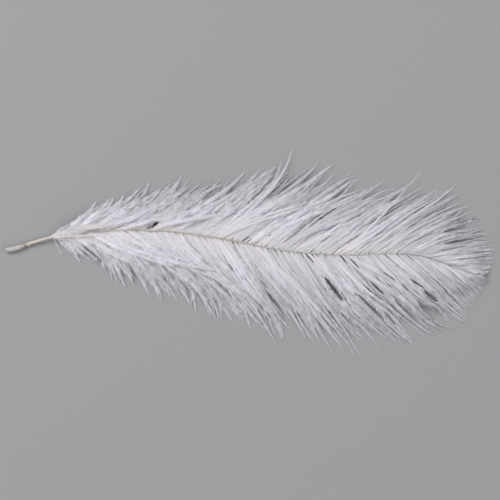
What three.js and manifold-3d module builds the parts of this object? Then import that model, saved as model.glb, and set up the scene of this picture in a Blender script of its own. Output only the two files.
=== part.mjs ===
// White ostrich plume lying on a flat surface, the bare quill at -X and the soft tip at +X.
//
// The plume grew as one piece, so it is one solid: a quill that narrows into a thin curved shaft,
// and a loose vane of pointed locks on each side of the shaft. The quill's end and the locks' tips
// touch the surface, and the shaft between them arches over it.
//
// Millimetres, +Z up. The origin is at the middle of the plume's outline, on the surface.

import * as THREE from "three";
import { mergeVertices } from "three/addons/utils/BufferGeometryUtils.js";
import Module from "manifold-3d";

// ---- Driving dimensions ------------------------------------------------------------------------

// The shaft's centre line: distance along X from the cut end, Y, height over the surface, radius.
const SHAFT_STATIONS = [
  [0, 0.3, 1.5, 1.5],
  [6, 1.2, 1.5, 1.5],
  [11, 3.0, 1.7, 1.15],
  [18, 5.2, 2.2, 0.9],
  [28, 7.9, 3.2, 0.85],
  [54, 11.0, 6.2, 0.8],
  [83, 11.8, 9.0, 0.75],
  [123, 7.0, 11.5, 0.7],
  [163, -0.3, 12.2, 0.6],
  [198, -2.5, 11.3, 0.5],
  [222, -1.8, 9.8, 0.45],
  [239, -3.4, 8.0, 0.4],
  [258, -10.0, 4.6, 0.35],
  [274, -15.2, 1.7, 0.3],
];
const SHAFT_SIDES = 8;
const SHAFT_STEPS = 36;

// Each vane by its roots' distance along X: lock length, the lock's heading away from +X in
// degrees at its root and at its tip, and its width.
const UPPER_VANE = {
  side: 1,
  stations: [
    [30, 25, 36, 30, 5],
    [38, 39, 36, 38, 7.5],
    [63, 46, 29, 46, 9.5],
    [75, 55, 28, 42, 9.5],
    [112, 58, 35, 45, 10],
    [130, 67, 40, 46, 10],
    [148, 72, 43, 34, 10],
    [170, 71, 44, 33, 9.5],
    [198, 66, 45, 34, 8.5],
    [219, 57, 43, 24, 7.5],
    [226, 50, 35, 5, 7],
    [238, 43, 18, 3, 7],
    [249, 32, 4, 2, 6],
    [263, 17, -6, -3, 4],
    [270, 10, -12, -8, 3],
  ],
};
const LOWER_VANE = {
  side: -1,
  stations: [
    [30, 18, 52, 42, 5],
    [37, 24, 40, 46, 7],
    [42, 38, 29, 72, 9],
    [50, 45, 35, 68, 10],
    [62, 50, 42, 62, 10.5],
    [89, 60, 51, 59, 11],
    [119, 69, 57, 56, 11],
    [150, 75, 60, 57, 11.5],
    [180, 67, 58, 47, 11],
    [196, 66, 54, 37, 10],
    [220, 55, 44, 37, 8.5],
    [235, 44, 41, 41, 7.5],
    [249, 32, 44, 42, 6],
    [263, 17, 38, 34, 4],
    [270, 10, 28, 26, 3],
  ],
};
const LOCKS_PER_VANE = 28;

// Locks that stand out of the vanes: vane, root along X, length, heading at root and tip, width.
const STRAY_LOCKS = [
  [UPPER_VANE, 52, 43, 32, 58, 3.2],
  [UPPER_VANE, 131, 62, 50, 70, 3.2],
  [UPPER_VANE, 128, 75, 40, 40, 3.6],
  [UPPER_VANE, 195, 62, 46, 50, 3.0],
  [LOWER_VANE, 29, 8, 64, 62, 1.4],
  [LOWER_VANE, 114, 69, 56, 62, 3.4],
  [LOWER_VANE, 148, 77, 58, 58, 3.4],
];

const VANE_START = 30; // first lock's root, along X
const VANE_END = 270; // last lock's root, along X
const TIP_CROWDING = 1.15; // above 1, the roots stand closer together towards the plume's tip
const ROOT_OVERLAP = 1.1; // a lock's width at its root over the distance to the next root
const LENGTH_SPREAD = 0.12; // how much of its length a lock may be longer than its neighbours
const HEADING_SPREAD = 9; // degrees by which the tips of neighbouring locks may differ

const LOCK_STEPS = 6;
const LOCK_TAPER_START = 0.55; // share of a lock's length at which it starts to narrow
const LOCK_TIP_WIDTH = 0.9;
const LOCK_ROOT_THICKNESS = 1.0;
const LOCK_THICKNESS = 2.2; // where it is thickest
const LOCK_TIP_THICKNESS = 1.3;
const LOCK_ROOT_DROP = 0.5; // the locks leave the shaft this much under its centre line
const LOCK_LANDING = 0.85; // share of a lock's length at which it has come down to the surface
const LOCK_LAID_HEIGHT = 0.3; // its middle's height from there on, its underside cut flat
const VANE_PUFF = 2.0; // how far a vane's middle rises over a straight slope down from the shaft
const SHINGLE = 1.0; // every other lock lies this much higher
const STRAY_RAISE = 1.8; // and the stray locks this much

// ---- Curves ------------------------------------------------------------------------------------

// The row of a table of stations at x, on straight lines between its rows.
function rowAt(stations, x) {
  const next = stations.findIndex((row) => row[0] > x);
  const last = next < 0 ? stations.length - 1 : Math.max(1, next);
  const [before, after] = [stations[last - 1], stations[last]];
  const share = THREE.MathUtils.clamp((x - before[0]) / (after[0] - before[0]), 0, 1);
  return before.map((value, k) => THREE.MathUtils.lerp(value, after[k], share));
}

const shaftCurve = new THREE.CatmullRomCurve3(
  SHAFT_STATIONS.map(([x, y, z]) => new THREE.Vector3(x, y, z)),
);

// The shaft curve's own parameter where it passes x, by halving.
function shaftParameterAt(x) {
  let [low, high] = [0, 1];
  while (high - low > 1e-7) {
    const middle = (low + high) / 2;
    if (shaftCurve.getPoint(middle).x < x) low = middle;
    else high = middle;
  }
  return low;
}

// A repeatable number from 0 to 1 for the nth lock: multiples of an irrational step spread evenly.
function spread(n, step) {
  return (n * step) % 1;
}

// ---- Solids ------------------------------------------------------------------------------------

// Turns a cylinder of unit length along Y into a solid whose rings are placed by place(t, u, v),
// where t runs from 0 to 1 along it and (u, v) is the point on the unit circle.
function bentCylinder(sides, steps, place) {
  const geometry = new THREE.CylinderGeometry(1, 1, 1, sides, steps);
  geometry.deleteAttribute("normal");
  geometry.deleteAttribute("uv");
  const positions = geometry.getAttribute("position");
  for (let i = 0; i < positions.count; i++) {
    const t = 0.5 - positions.getY(i);
    const point = place(t, positions.getX(i), positions.getZ(i));
    positions.setXYZ(i, point.x, point.y, point.z);
  }
  return mergeVertices(geometry, 1e-4);
}

const UP = new THREE.Vector3(0, 0, 1);

function shaftGeometry() {
  return bentCylinder(SHAFT_SIDES, SHAFT_STEPS, (t, u, v) => {
    const centre = shaftCurve.getPoint(t);
    const along = shaftCurve.getTangent(t);
    const across = new THREE.Vector3().crossVectors(UP, along).normalize();
    const over = new THREE.Vector3().crossVectors(along, across);
    const radius = rowAt(SHAFT_STATIONS, centre.x)[3];
    return centre.addScaledVector(across, u * radius).addScaledVector(over, v * radius);
  });
}

// One pointed, flattened lock from its root on the shaft to its tip on the surface.
function lockGeometry({ side, rootX, rootWidth, length, rootHeading, tipHeading, width, raise }) {
  const rootT = shaftParameterAt(rootX);
  const root = shaftCurve.getPoint(rootT);
  const shaftDirection = shaftCurve.getTangent(rootT).setZ(0).normalize();

  const headingAt = (t) =>
    side * THREE.MathUtils.degToRad(THREE.MathUtils.lerp(rootHeading, tipHeading, t));
  const acrossAt = (t) => {
    const heading = headingAt(t);
    return new THREE.Vector3(-Math.sin(heading), Math.cos(heading), 0);
  };

  // The root's edge lies along the shaft, so that the vane leaves it without gaps, except where a
  // lock runs on nearly in line with the shaft.
  const leaving = Math.abs(acrossAt(0).dot(shaftDirection));
  const rootEdge = acrossAt(0).lerp(
    shaftDirection.multiplyScalar(-side),
    THREE.MathUtils.smoothstep(leaving, 0.3, 0.5),
  );

  // The heading turns steadily from root to tip, so the line is summed up in short straight pieces.
  const centreAt = (t) => {
    const pieces = 24;
    const step = (length * t) / pieces;
    const centre = root.clone();
    for (let k = 0; k < pieces; k++) {
      const heading = headingAt((t * (k + 0.5)) / pieces);
      centre.x += Math.cos(heading) * step;
      centre.y += Math.sin(heading) * step;
    }
    const fall = Math.min(1, t / LOCK_LANDING);
    centre.z = THREE.MathUtils.lerp(root.z - LOCK_ROOT_DROP, LOCK_LAID_HEIGHT, fall);
    centre.z += (VANE_PUFF + raise) * Math.sin(Math.PI * fall);
    return centre;
  };

  const thicknessAt = (t) => {
    const thickening = THREE.MathUtils.smoothstep(t, 0, 0.35);
    const thinning = THREE.MathUtils.smoothstep(t, 0.55, 1);
    const full = THREE.MathUtils.lerp(LOCK_ROOT_THICKNESS, LOCK_THICKNESS, thickening);
    return THREE.MathUtils.lerp(full, LOCK_TIP_THICKNESS, thinning);
  };

  const widthAt = (t) => {
    const spreading = THREE.MathUtils.smoothstep(t, 0, 0.3);
    const taper = THREE.MathUtils.smoothstep(t, LOCK_TAPER_START, 1.05);
    const full = THREE.MathUtils.lerp(rootWidth, width, spreading);
    return THREE.MathUtils.lerp(full, LOCK_TIP_WIDTH, taper);
  };

  return bentCylinder(4, LOCK_STEPS, (t, u, v) => {
    const across = rootEdge.clone().lerp(acrossAt(t), THREE.MathUtils.smoothstep(t, 0, 0.3));
    return centreAt(t)
      .addScaledVector(across, (u * widthAt(t)) / 2)
      .addScaledVector(UP, (v * thicknessAt(t)) / 2);
  });
}

// Where the nth lock of a vane leaves the shaft.
function rootOf(n) {
  const fromTip = 1 - n / (LOCKS_PER_VANE - 1);
  return THREE.MathUtils.lerp(VANE_END, VANE_START, fromTip ** TIP_CROWDING);
}

function vaneLocks({ side, stations }) {
  return Array.from({ length: LOCKS_PER_VANE }, (_, n) => {
    const rootX = rootOf(n);
    const neighbour = rootOf(n ? n - 1 : 1);
    const [, length, rootHeading, tipHeading, width] = rowAt(stations, rootX);
    return lockGeometry({
      side,
      rootX,
      rootWidth: Math.abs(rootX - neighbour) * ROOT_OVERLAP,
      length: length * (1 + LENGTH_SPREAD * (spread(n, 0.618) - 0.5)),
      rootHeading,
      tipHeading: tipHeading + HEADING_SPREAD * (spread(n, 0.755) - 0.5),
      width,
      raise: n % 2 ? SHINGLE : 0,
    });
  });
}

function strayLocks() {
  return STRAY_LOCKS.map(([{ side }, rootX, length, rootHeading, tipHeading, width]) =>
    lockGeometry({
      side,
      rootX,
      rootWidth: width,
      length,
      rootHeading,
      tipHeading,
      width,
      raise: STRAY_RAISE,
    }),
  );
}

// What is under the surface, which cuts the locks' undersides flat where they rest.
function underSurface() {
  const depth = 20;
  const box = new THREE.BoxGeometry(400, 300, depth);
  box.deleteAttribute("normal");
  box.deleteAttribute("uv");
  return mergeVertices(box.translate(140, 0, -depth / 2));
}

// ---- Joining -----------------------------------------------------------------------------------

const wasm = await Module();
wasm.setup();

function solidOf(geometry) {
  const vertProperties = geometry.getAttribute("position").array;
  const triVerts = new Uint32Array(geometry.index.array);
  return new wasm.Manifold(new wasm.Mesh({ numProp: 3, vertProperties, triVerts }));
}

function geometryOf(solid) {
  const { vertProperties, triVerts } = solid.getMesh();
  const geometry = new THREE.BufferGeometry();
  geometry.setAttribute("position", new THREE.BufferAttribute(vertProperties, 3));
  geometry.setIndex(new THREE.BufferAttribute(triVerts, 1));
  return geometry;
}

function featherGeometry() {
  const locks = [...vaneLocks(UPPER_VANE), ...vaneLocks(LOWER_VANE), ...strayLocks()];
  const joined = locks.reduce((whole, lock) => whole.add(solidOf(lock)), solidOf(shaftGeometry()));
  const shells = joined.subtract(solidOf(underSurface())).decompose();
  // The plume is the largest shell; the others are slivers that the joins leave at the roots.
  const plume = shells.reduce((a, b) => (b.volume() > a.volume() ? b : a));
  const geometry = geometryOf(plume);
  geometry.computeBoundingBox();
  const middle = geometry.boundingBox.getCenter(new THREE.Vector3());
  geometry.translate(-middle.x, -middle.y, 0);
  geometry.computeVertexNormals();
  return geometry;
}

const featherMaterial = new THREE.MeshStandardMaterial({
  color: 0xe6e4ea,
  roughness: 0.85,
  metalness: 0,
});

const feather = new THREE.Mesh(featherGeometry(), featherMaterial);
feather.name = "feather";

const group = new THREE.Group();
group.add(feather);

export default group;
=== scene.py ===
"""White ostrich plume lying on a pale floor: the shaft with its cut quill, and the two loose vanes.

Every barb is a thin ribbon with a fringe of barbules on both edges. The barbs leave the shaft one by
one and draw together into pointed locks, which part where the plume is worn or parted.

Lengths in the tables are millimetres, measured from the quill's cut end, +X towards the plume's tip
and +Y towards the upper vane.
"""

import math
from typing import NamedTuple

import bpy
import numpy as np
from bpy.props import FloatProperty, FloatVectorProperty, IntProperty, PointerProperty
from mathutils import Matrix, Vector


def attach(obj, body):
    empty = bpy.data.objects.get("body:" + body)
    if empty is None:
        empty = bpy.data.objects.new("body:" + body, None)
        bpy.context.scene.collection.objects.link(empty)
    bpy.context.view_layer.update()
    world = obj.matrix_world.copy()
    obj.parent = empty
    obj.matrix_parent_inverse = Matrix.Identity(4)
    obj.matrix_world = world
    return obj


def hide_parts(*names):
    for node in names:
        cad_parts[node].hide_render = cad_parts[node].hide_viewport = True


bl_info = {
    "name": "Ostrich Plume",
    "version": (1, 0, 0),
    "blender": (4, 5, 0),
    "location": "View3D > Sidebar > Plume",
    "description": "Builds a white ostrich plume, lying flat, with its shaft and downy barbs",
    "category": "Add Mesh",
}

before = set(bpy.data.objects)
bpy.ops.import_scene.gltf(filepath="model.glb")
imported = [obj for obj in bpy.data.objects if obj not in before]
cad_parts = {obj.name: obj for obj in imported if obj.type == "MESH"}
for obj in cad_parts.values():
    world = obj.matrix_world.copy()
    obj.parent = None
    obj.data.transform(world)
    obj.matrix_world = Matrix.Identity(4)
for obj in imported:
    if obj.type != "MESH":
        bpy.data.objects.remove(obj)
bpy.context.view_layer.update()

MM = 0.001
BODY = "root"
NODE = "feather"
CUT_END = np.array((-140.93, 2.07, 0.0))  # where the tables start from, in the part's frame

# The shaft's centre line: distance along X, Y, height over the floor, radius.
SHAFT = np.array(
    (
        (0, 0.3, 1.5, 1.32),
        (5, 1.05, 1.55, 1.36),
        (8, 2.05, 1.5, 1.0),
        (11, 3.15, 1.6, 0.86),
        (14, 4.15, 1.8, 0.84),
        (18, 5.3, 2.2, 0.84),
        (28, 8.0, 3.2, 0.74),
        (54, 11.0, 6.2, 0.5),
        (83, 11.8, 9.0, 0.45),
        (123, 7.0, 11.5, 0.4),
        (163, -0.3, 12.2, 0.35),
        (198, -2.5, 11.3, 0.28),
        (222, -1.8, 9.8, 0.21),
        (239, -3.4, 8.0, 0.19),
        (258, -10.0, 4.6, 0.17),
        (274, -15.2, 1.7, 0.13),
    )
)

# A vane's headings by the root's distance along X: degrees away from +X at a barb's root and tip.
UPPER_HEADINGS = np.array(
    (
        (30, 36, 48),
        (38, 36, 54),
        (63, 29, 58),
        (75, 28, 48),
        (112, 35, 45),
        (130, 40, 46),
        (148, 42, 32),
        (170, 42, 26),
        (198, 42, 28),
        (219, 39, 20),
        (226, 35, 5),
        (238, 18, 3),
        (249, 4, 2),
        (263, -6, -3),
        (270, -12, -8),
    )
)
LOWER_HEADINGS = np.array(
    (
        (37, 27, 82),
        (42, 26, 78),
        (50, 34, 68),
        (62, 44, 70),
        (89, 54, 69),
        (119, 57, 60),
        (150, 60, 57),
        (180, 57, 46),
        (196, 50, 34),
        (220, 39, 34),
        (235, 38, 40),
        (249, 44, 42),
        (263, 38, 34),
        (270, 28, 26),
    )
)

# The locks of each vane: where the lock leaves the shaft, and its tip's X and Y.
UPPER_LOCKS = np.array(
    (
        (29, 35, 14), (30, 39, 18), (31, 45, 21), (33, 52, 28), (34, 55, 30), (36, 61, 30),
        (39, 67, 32), (41, 73, 34), (44, 78, 37), (48, 84, 41), (55, 89, 35), (60, 95, 38),
        (64, 101, 43), (69, 106, 41), (74, 112, 39), (79, 118, 38), (83, 123, 41), (88, 130, 42),
        (93, 138, 46), (98, 143, 43), (101, 146, 47), (104, 151, 47), (107, 155, 48),
        (111, 158, 52), (118, 164, 45), (121, 169, 49), (127, 180, 52), (132, 187, 49),
        (137, 192, 45), (141, 198, 46), (146, 203, 41), (151, 207, 40), (156, 213, 38),
        (160, 220, 42), (169, 225, 35), (175, 231, 38), (183, 239, 37), (189, 245, 37),
        (196, 252, 36), (201, 258, 37), (207, 260, 32), (213, 261, 27), (217, 265, 25),
        (221, 269, 22), (225, 273, 17), (229, 274, 13), (233, 277, 9), (237, 278, 5),
        (243, 280.5, 1), (249, 281.5, -4), (255, 280.5, -8), (261, 278.5, -11),
        (266, 276.5, -13.5),
    ),
    dtype=float,
)
LOWER_LOCKS = np.array(
    (
        (38, 60, -17), (41, 64, -18), (45, 69, -20), (48, 74, -22), (53, 80, -23),
        (56, 83, -26), (60, 90, -28), (65, 95, -26),
        (68, 99, -29), (71, 102, -32), (74, 106, -32), (77, 109, -34), (81, 115, -34),
        (84, 118, -37), (88, 122, -41), (94, 130, -40), (101, 135, -39), (105, 141, -45),
        (109, 147, -50), (114, 152, -47), (117, 156, -53), (121, 160, -54), (131, 165, -45),
        (135, 169, -49), (139, 172, -50), (144, 178, -53), (147, 181, -52), (150, 185, -54),
        (153, 190, -62), (156, 194, -57), (160, 201, -61), (164, 204, -61), (169, 208, -53),
        (173, 215, -59), (180, 223, -54), (184, 228, -56), (189, 235, -55), (195, 241, -50),
        (200, 246, -48), (205, 250, -45), (209, 255, -44), (213, 258, -44), (219, 264.5, -41),
        (228, 265.5, -36), (236, 267.5, -31), (244, 270.5, -27), (251, 273.5, -24.5),
        (258, 274.5, -20.5), (264, 276, -17.5), (268, 277, -15.5),
    ),
    dtype=float,
)

# Each vane: its side of the shaft, how strongly its downy barbs ripple, how far they stray from
# their headings, where it starts, and over which part of the shaft it turns into a loose comb.
VANES = {
    "upper": {
        "side": 1,
        "billow": 1.15,
        "stray": 1.0,
        "start": 25.6,
        "comb": (228.0, 242.0),
        "headings": UPPER_HEADINGS,
        "locks": UPPER_LOCKS,
    },
    "lower": {
        "side": -1,
        "billow": 0.6,
        "stray": 2.2,
        "start": 36.0,
        "comb": (216.0, 230.0),
        "headings": LOWER_HEADINGS,
        "locks": LOWER_LOCKS,
    },
}
VANE_END = 272.0
SHEET_NAMES = ("base", "middle", "tip")  # the pieces of each vane

# Where the vanes are parted: middle X and Y, direction in degrees, length, and half the opening.
PARTINGS = (
    (187.9, -21.8, -52, 18.0, 1.95),
    (209.0, -32.0, -44, 23.0, 1.6),
    (212.6, -21.2, -40, 11.0, 0.8),
    (199.7, -7.4, -47, 8.3, 0.4),
    (218.6, -14.2, -33, 10.5, 0.4),
    (219.2, -19.7, -35, 4.7, 0.4),
    (228.9, -21.6, -35, 6.3, 0.5),
    (235.5, -18.9, -31, 9.8, 0.7),
    (243.3, -26.0, -38, 11.0, 2.3),
    (230.7, -35.4, -41, 19.7, 1.0),
    (220.5, -38.8, -50, 10.3, 1.0),
    (246.2, -37.8, -32, 22.0, 2.4),
    (175.0, -5.3, -52, 6.0, 0.45),
    (138.3, 6.9, 30, 6.0, 0.38),
    (84.8, 14.0, 32, 8.8, 2.3),
    (152.0, 8.9, 30, 3.0, 0.3),
    (50.0, -1.5, -39, 15.0, 1.0),
    (36.0, 13.3, 35, 6.5, 0.4),
    (40.5, 18.2, 38, 4.5, 0.4),
    (270.6, 15.6, 13.7, 42.0, 2.6),
    (260.4, 5.6, 10, 19.0, 1.2),
    (272.8, -3.7, 11, 8.8, 0.5),
)

# Single strands that lie over the others: root X, tip X and Y, headings at root and tip, how many
# barbs, how far the middle rises over the vane, the height of the tip, and how long the barbules
# are against the usual.
LOOSE_STRANDS = (
    (122, 164.2, 58.5, 40, 80, 4, -0.6, 3.0, 1.0),
    (114, 158.1, 51.3, 34, 82, 3, -0.6, 3.5, 1.0),
    (140, 187.6, 49.5, 40, 35, 2, -0.4, 2.0, 1.0),
    (150, 199.7, 42.5, 44, 20, 3, -0.4, 2.0, 1.0),
    (192, 237.9, 44.8, 43, 47, 2, 1.5, 4.0, 0.8),
    (52, 149.5, -16.5, -30, -13, 4, 1.2, 9.2, 1.0),
    (48, 119.0, -14.5, -29, -14, 4, 0.9, 7.8, 1.0),
    (66, 138.0, -21.0, -36, -18, 4, 0.9, 8.0, 1.0),
    (58, 153.0, -18.5, -25, -13, 1, 1.4, 9.0, 0.5),
    (70, 105.0, -19.0, -24, -32, 4, 0.7, 6.6, 1.0),
    (84, 122.2, -40.2, -52, -56, 2, 0.8, 2.5, 0.8),
    (214, 266.9, -31.5, -52, 4, 1, 1.0, 2.0, 0.3),
    (212, 261.6, -40.2, -50, -20, 2, 0.8, 1.0, 0.6),
    (86, 124.0, -38.5, -46, -95, 1, 0.8, 2.5, 0.8),
    (52, 92.0, 27.0, 14, 22, 4, 0.9, 8.0, 1.0),
    (62, 118.0, 25.0, 12, 16, 4, 1.2, 9.6, 1.0),
    (80, 134.0, 22.0, 14, 10, 4, 1.2, 11.0, 1.0),
)

# The small tufts under the vane's start, in the same columns.
BASE_TUFTS = (
    (29.0, 39.8, -2.8, -20, -50, 4, -1.2, 0.8, 0.7),
    (29.6, 43.2, -7.0, -20, -54, 5, -1.0, 0.8, 0.8),
    (31.0, 48.8, -6.3, -24, -44, 5, -1.0, 0.8, 0.8),
    (33.0, 53.8, -6.0, -24, -38, 5, -0.8, 0.8, 0.8),
    (35.0, 52.0, -3.0, -22, -36, 5, -1.0, 0.8, 0.8),
    (34.0, 46.0, -1.0, -24, -36, 5, -1.2, 0.8, 0.8),
)

# Down that lies along the shaft and covers its first part, in the same columns.
COVER_STRANDS = (
    (25.4, 46.0, 11.6, 22, 2, 5, -1.2, 7.2, 0.8),
    (26.0, 44.0, 9.4, 10, 8, 4, -1.2, 7.0, 0.8),
    (28.0, 47.0, 10.8, 14, 2, 5, -1.2, 7.4, 0.8),
    (28.0, 50.0, 13.4, 30, 8, 4, -1.0, 7.2, 1.0),
    (33.0, 53.0, 8.6, -6, -6, 4, -1.0, 7.2, 0.8),
    (31.0, 60.0, 14.6, 24, 3, 4, -0.6, 8.4, 1.0),
    (36.0, 72.0, 15.2, 20, 0, 4, -0.4, 9.6, 1.0),
    (27.0, 50.0, 3.6, -4, -16, 5, -1.0, 4.2, 0.8),
    (30.0, 57.0, 1.6, -6, -20, 5, -0.6, 4.2, 0.9),
    (34.0, 64.0, 0.0, -8, -22, 5, -0.4, 4.6, 1.0),
)

# Bare barbs, each a line in X, Y and height: one hangs below the vane's start and ends in a small
# brush, and the others cross the small gap beside the shaft.
BRUSH_BARB = ((28.0, 6.4, 2.8), (29.4, 3.0, 1.8), (30.8, 0.2, 1.2), (32.0, -2.1, 0.9))
GAP_BARBS = (
    ((80.6, 12.0, 9.0), (82.4, 13.6, 9.6), (83.8, 15.4, 9.8), (85.4, 17.4, 9.4)),
    ((82.0, 12.0, 9.0), (83.4, 13.4, 9.7), (84.6, 15.2, 9.9), (86.4, 17.0, 9.4)),
    ((83.4, 12.0, 9.1), (84.2, 13.0, 9.6), (85.0, 14.6, 9.8), (86.0, 16.8, 9.4)),
)
BARE_STEPS = 28  # points of such a line
BARE_WIDTH, BARE_TAPER = 0.22, 0.08  # its width at the root, and how much it loses
BARE_LEAN = 24.0  # degrees that its barbules lean away
STEM_BARBULE, BRUSH_BARBULE = 0.2, 1.4  # length of the first barb's barbules, and more in its brush
BRUSH_PART = (0.6, 0.85)  # shares of that barb between which the brush grows
GAP_BARBULE = 0.35  # length of the other barbs' barbules
BARE_SEED = 5  # keeps their random draws apart from the others

# The papery sheath around the quill's end: where it starts, and how far it reaches at the top and at
# the bottom.
SHEATH_START, SHEATH_TOP, SHEATH_BOTTOM = 0.9, 11.4, 10.2
SHEATH_HEADING_AT = 6.0  # its rings stand square to the quill's direction up to here
SHEATH_SIDES, SHEATH_ROWS = 36, 30
SHEATH_THICKNESS, SHEATH_INSIDE = 0.13, -0.06  # its outer and inner face, from the quill's surface
SHEATH_TEETH = ((0.4, 5, 1.0), (0.25, 11, 0.0), (0.15, 17, 0.0))  # depth, how many, turn
SHEATH_THINNING = 0.5  # share of its thickness that it loses towards its far edge
SHEATH_UNEVEN = (0.3, 3, 9)  # how much its thickness varies, how often around, twist along it
SHEATH_CRUMPLES = ((0.09, 6, 19), (0.08, 4, -37))  # height, how many around, twist along it
SHEATH_CRUMPLED = (0.45, 0.75)  # between these shares of its length the crumples grow
SHEATH_BULGE, SHEATH_DEEPEST = 0.2, -0.05  # how far one side stands off, and the deepest crumple

# The chip that hangs from the quill beyond the sheath, and its widths along that line.
CHIP_LINE = ((12.4, 3.3, 1.9), (13.0, 3.15, 1.8), (13.8, 3.0, 1.5), (14.6, 2.7, 1.1))
CHIP_WIDTHS = (0.5, 1.4, 1.2, 0.4)
CHIP_THICKNESS = 0.12


# ---- Curves ------------------------------------------------------------------------------------


def smooth_table(table, x):
    """The columns after the first of a table, read at x on a smooth curve through its rows."""
    xs = table[:, 0]
    slopes = np.gradient(table[:, 1:], xs, axis=0)
    x = np.clip(np.atleast_1d(x), xs[0], xs[-1])
    i = np.clip(np.searchsorted(xs, x) - 1, 0, len(xs) - 2)
    gap = (xs[i + 1] - xs[i])[:, None]
    t = (x - xs[i])[:, None] / gap
    before, after = table[i, 1:], table[i + 1, 1:]
    return (
        before * (1 + 2 * t) * (1 - t) ** 2
        + after * t * t * (3 - 2 * t)
        + slopes[i] * gap * t * (1 - t) ** 2
        + slopes[i + 1] * gap * t * t * (t - 1)
    )


def shaft_at(x):
    """Points of the shaft's centre line, and its radii."""
    rows = smooth_table(SHAFT, x)
    x = np.clip(np.atleast_1d(x), SHAFT[0, 0], SHAFT[-1, 0])
    return np.column_stack((x, rows[:, 0], rows[:, 1])), rows[:, 2]


def smoothstep(low, high, x):
    t = np.clip((x - low) / (high - low), 0.0, 1.0)
    return t * t * (3 - 2 * t)


def unit(vectors):
    return vectors / np.linalg.norm(vectors, axis=-1, keepdims=True)


def heading_vector(degrees):
    angle = np.radians(degrees)
    return np.array((np.cos(angle), np.sin(angle)))


def frames_along(line):
    """Directions along a line, to its left and over it, one row for each point."""
    along = unit(np.gradient(line, axis=0))
    left = unit(np.cross((0.0, 0.0, 1.0), along))
    return along, left, np.cross(along, left)


def part_barb(points, guides, ease):
    """Pushes one barb's points out of the partings, all to the side that its line passes on. Ease
    is the share of an opening that each point leaves free."""
    for x, y, heading, length, opening in PARTINGS:
        along = heading_vector(heading)
        across = np.array((-along[1], along[0]))
        guide = guides[:, :2] - (x, y)
        beside = np.abs(guide @ along) < length / 2
        if not beside.any():
            continue
        side = -1.0 if np.mean(guide[beside] @ across) < 0 else 1.0
        offset = points[:, :2] - (x, y)
        u, v = offset @ along, offset @ across
        width = opening * ease * np.sqrt(np.clip(1 - (2 * u / length) ** 2, 0, 1))
        opened = np.sqrt(np.maximum(side * v, 0.0) ** 2 + width**2)
        moved = width > 0
        points[moved, :2] += ((side * opened - v)[:, None] * across)[moved]
    return points


# ---- Meshes ------------------------------------------------------------------------------------


def mesh_object(name, points, triangles, uvs, fields, smooth):
    """An object from arrays: points in millimetres from the cut end, in the plume's own frame."""
    placed = (points + CUT_END) * MM
    mesh = bpy.data.meshes.new(name)
    mesh.vertices.add(len(placed))
    mesh.vertices.foreach_set("co", placed.astype(np.float32).ravel())
    mesh.loops.add(triangles.size)
    mesh.loops.foreach_set("vertex_index", triangles.astype(np.int32).ravel())
    mesh.polygons.add(len(triangles))
    mesh.polygons.foreach_set("loop_start", np.arange(0, triangles.size, 3, dtype=np.int32))
    mesh.polygons.foreach_set("use_smooth", np.full(len(triangles), smooth))
    layer = mesh.uv_layers.new(name="OFBake")
    layer.uv.foreach_set("vector", uvs[triangles.ravel()].astype(np.float32).ravel())
    for field, values in fields.items():
        attribute = mesh.attributes.new(field, "FLOAT", "POINT")
        attribute.data.foreach_set("value", values.astype(np.float32))
    mesh.update(calc_edges=True)
    if mesh.validate():
        raise RuntimeError(f"{name}: its mesh had broken faces")
    piece = bpy.data.objects.new(name, mesh)
    bpy.context.scene.collection.objects.link(piece)
    return piece


def dress(piece, material):
    """Gives a piece its material, attaches it to the body that it moves with, and hides the part that
    it stands in for.
    """
    piece.data.materials.append(material)
    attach(piece, BODY)
    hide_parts(NODE)


# How single barbules vary: least and most share of their lean and of their length, and the mean and
# spread of their lift's share, where most of them droop.
LEAN_SPREAD, LENGTH_SPREAD, LIFT_SPREAD = (0.75, 1.25), (0.7, 1.15), (-0.8, 1.0)
EASE_SPREAD = (0.9, 1.25)  # how much of a parting a barb leaves open, least and most
RAGGED_SPREAD = (0.1, 1.0)  # the same for a barbule, as a share of what its barb leaves
LOWEST_POINT = 0.05  # least height of any point
BARB_ROW = (0.6, 0.4, 0.95, 0.05)  # places across the UV map: the barb's edges and its barbules' tips
UV_MARGIN = 0.001  # left free at both ends of the UV map


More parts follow.
